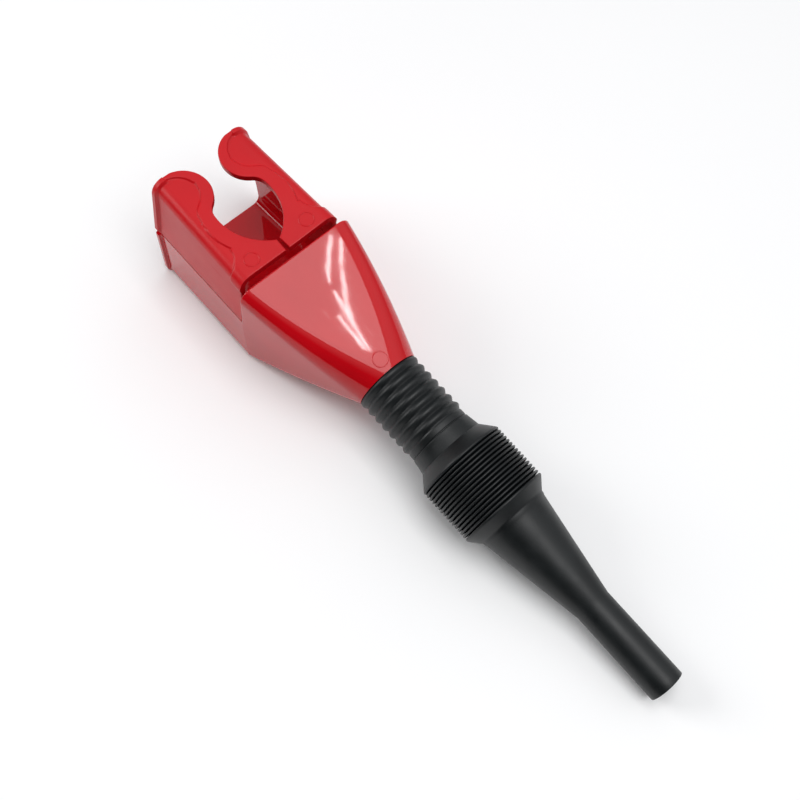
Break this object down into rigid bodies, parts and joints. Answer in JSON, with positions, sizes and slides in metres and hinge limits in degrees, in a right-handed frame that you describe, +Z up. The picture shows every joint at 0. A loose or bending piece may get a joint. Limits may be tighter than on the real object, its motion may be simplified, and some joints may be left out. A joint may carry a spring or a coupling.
{
  "type": "folding clip-on funnel",
  "caption": "Hand funnel with an open trough, folding side wings with bottle clip jaws, a bending bellows and an extending nozzle.",
  "frame": {"origin": "middle of the trough's flat underside, on the ground plane", "axes": "+X from the open mouth towards the nozzle tip, +Y to the right wing, +Z up"},
  "size_m": [0.3004, 0.0628, 0.0653],
  "materials": {
    "red_shell": "glossy polypropylene",
    "red_jaws": "semi-gloss polypropylene",
    "red_fold": "thin stressed web",
    "black_nozzle": "satin polyethylene"
  },
  "bodies": {
    "body": {"trough": "red_shell", "spout": "red_shell", "outlet_neck": "red_shell", "nozzle_cuff": "black_nozzle", "left_fold": "red_fold", "right_fold": "red_fold", "bellows_rear": "black_nozzle"},
    "left_flap": {"left_wing": "red_shell", "left_jaw": "red_jaws"},
    "right_flap": {"right_wing": "red_shell", "right_jaw": "red_jaws"},
    "bellows_mid": {"bellows_ring": "black_nozzle", "bellows_front": "black_nozzle"},
    "nozzle": {"tube": "black_nozzle", "collar_rear": "black_nozzle", "pleats": "black_nozzle"},
    "nozzle_end": {"collar_front": "black_nozzle", "cone": "black_nozzle", "tip": "black_nozzle"}
  },
  "joints": [
    {"name": "left_wing_fold", "type": "hinge", "parent": "body", "child": "left_flap", "pos_m": [-0.03225, -0.02877, 0.034], "axis": [0.9998, -0.0188, 0], "range_deg": [0, 95], "deforming": ["left_fold"]},
    {"name": "right_wing_fold", "type": "hinge", "parent": "body", "child": "right_flap", "pos_m": [-0.03225, 0.02877, 0.034], "axis": [-0.9998, -0.0188, 0], "range_deg": [0, 95], "deforming": ["right_fold"]},
    {"name": "nozzle_bend_up", "type": "hinge", "parent": "body", "child": "bellows_mid", "pos_m": [0.1028, 0, 0.0299], "axis": [0, -1, 0], "range_deg": [-16, 16], "deforming": ["bellows_rear"]},
    {"name": "nozzle_bend_side", "type": "hinge", "parent": "bellows_mid", "child": "nozzle", "pos_m": [0.11616, 0, 0.02816], "axis": [0.1288, 0, 0.9917], "range_deg": [-16, 16], "deforming": ["bellows_front"]},
    {"name": "nozzle_extend", "type": "slide", "parent": "nozzle", "child": "nozzle_end", "axis": [0.9917, 0, -0.1288], "range_m": [0, 0.045], "deforming": ["pleats"]}
  ]
}
